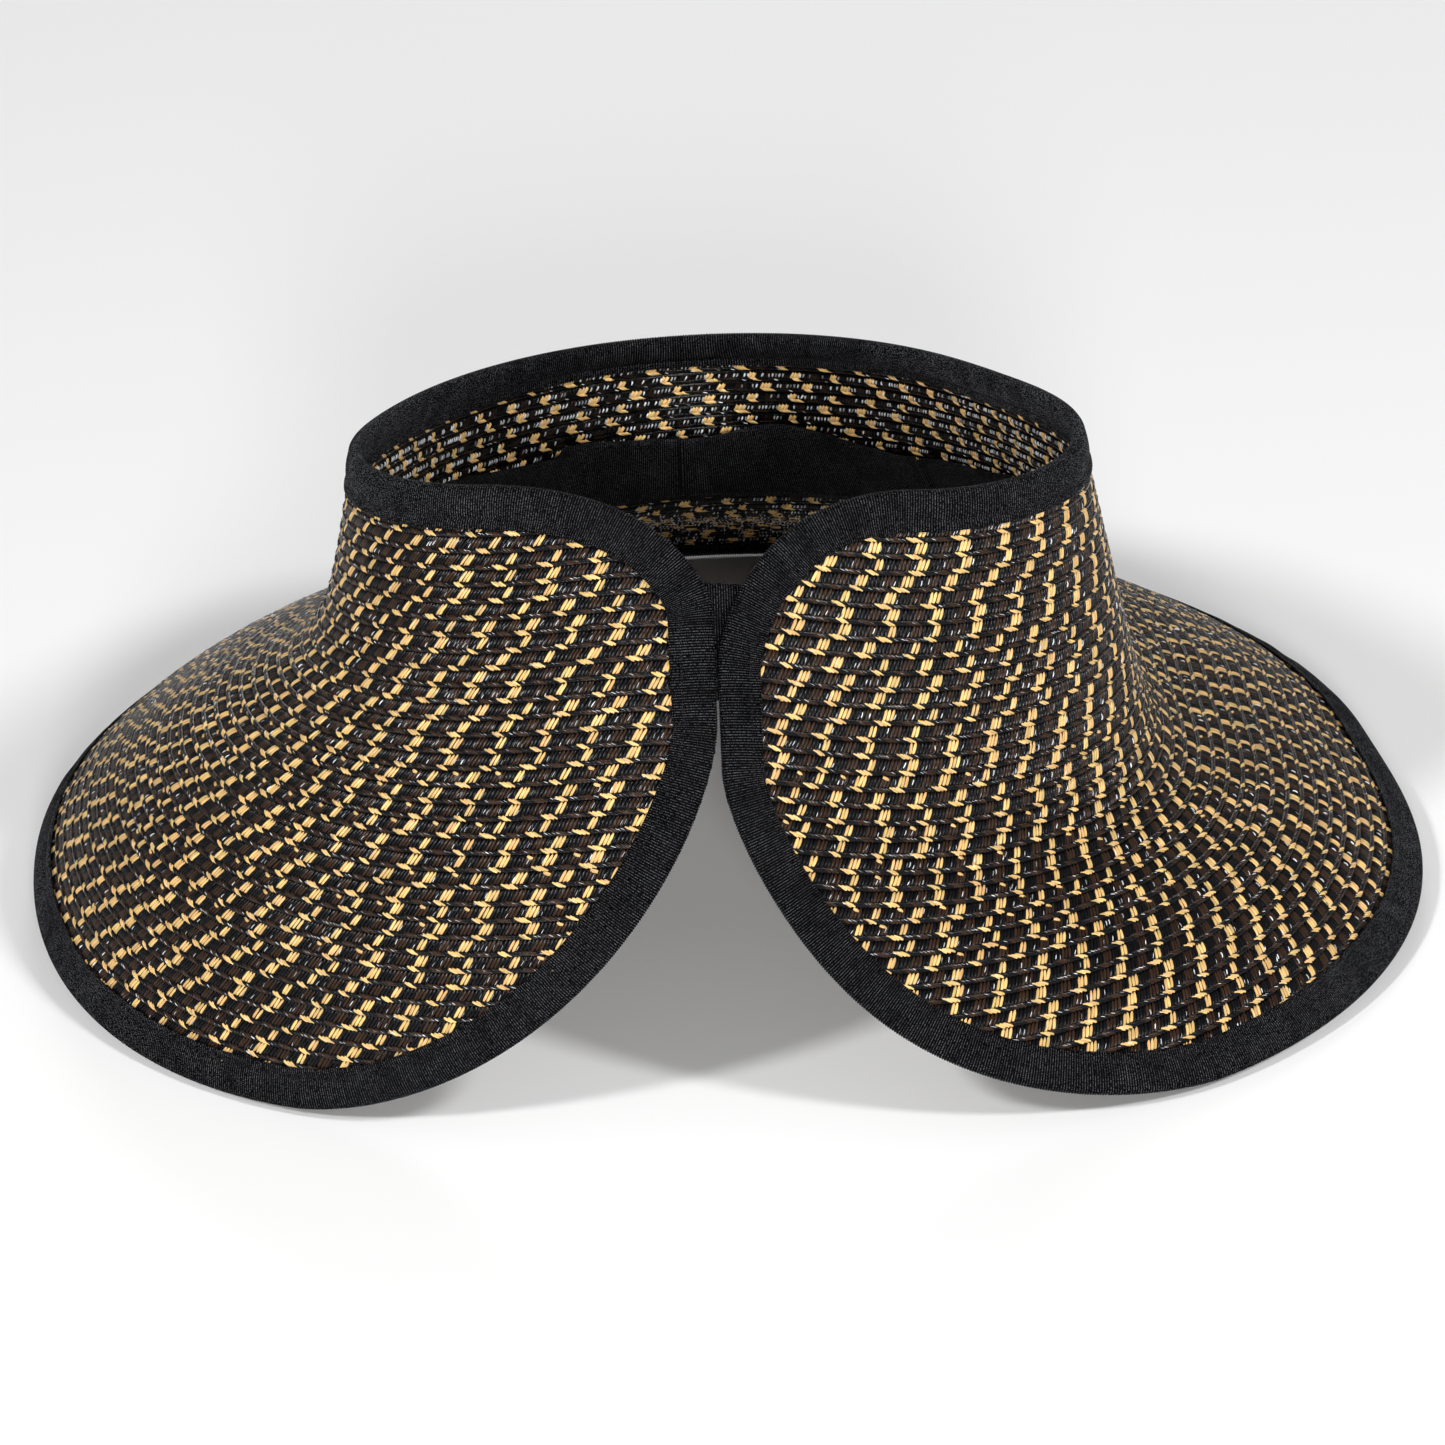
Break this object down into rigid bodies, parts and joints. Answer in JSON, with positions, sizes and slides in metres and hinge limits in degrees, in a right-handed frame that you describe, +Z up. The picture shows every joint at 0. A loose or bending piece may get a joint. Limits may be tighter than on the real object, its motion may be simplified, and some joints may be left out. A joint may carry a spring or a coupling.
{
  "type": "sun visor",
  "caption": "Open-back straw sun visor with a wide drooping brim, rows of sewn braid, black ribbon edge binding, inner sweatband and a hook-and-loop closure strap",
  "frame": {"origin": "bottom centre of the whole visor's box, on the surface it stands on", "axes": "+Z up out of the crown, +Y towards the front of the brim, +X to the right seen from behind"},
  "size_m": [0.3494, 0.3417, 0.1439],
  "materials": {
    "straw_braid": "matte",
    "black_ribbon": "satin",
    "thread": "satin",
    "hook_and_loop": "matte"
  },
  "bodies": {
    "visor": {"binding_stitching": "thread", "edge_binding": "black_ribbon", "loop_patch": "hook_and_loop", "strap_anchor": "black_ribbon", "strap_stitching": "thread", "straw_row_01": "straw_braid", "straw_row_02": "straw_braid", "straw_row_03": "straw_braid", "straw_row_04": "straw_braid", "straw_row_05": "straw_braid", "straw_row_06": "straw_braid", "straw_row_07": "straw_braid", "straw_row_08": "straw_braid", "straw_row_09": "straw_braid", "straw_row_10": "straw_braid", "straw_row_11": "straw_braid", "straw_row_12": "straw_braid", "straw_row_13": "straw_braid", "straw_row_14": "straw_braid", "straw_row_15": "straw_braid", "straw_row_16": "straw_braid", "straw_row_17": "straw_braid", "straw_row_18": "straw_braid", "straw_row_19": "straw_braid", "straw_row_20": "straw_braid", "straw_row_21": "straw_braid", "straw_row_22": "straw_braid", "straw_row_23": "straw_braid", "straw_row_24": "straw_braid", "straw_row_25": "straw_braid", "straw_row_26": "straw_braid", "straw_row_27": "straw_braid", "straw_row_28": "straw_braid", "straw_row_29": "straw_braid", "straw_row_30": "straw_braid", "straw_row_31": "straw_braid", "straw_row_32": "straw_braid", "straw_row_33": "straw_braid", "straw_row_34": "straw_braid", "straw_row_35": "straw_braid", "straw_row_36_left": "straw_braid", "straw_row_36_right": "straw_braid", "straw_row_37_left": "straw_braid", "straw_row_37_right": "straw_braid", "straw_row_38_left": "straw_braid", "straw_row_38_right": "straw_braid", "straw_row_39_left": "straw_braid", "straw_row_39_right": "straw_braid", "straw_row_40": "straw_braid", "sweatband": "black_ribbon", "sweatband_stitching": "thread"},
    "closure_flap": {"strap_flap": "black_ribbon", "hook_patch": "hook_and_loop"}
  },
  "joints": [
    {"name": "flap_hinge", "type": "hinge", "parent": "visor", "child": "closure_flap", "pos_m": [-0.00813, -0.1294, 0.11264], "axis": [0.033, 0.5417, 0.8399], "range_deg": [0, 100]}
  ]
}
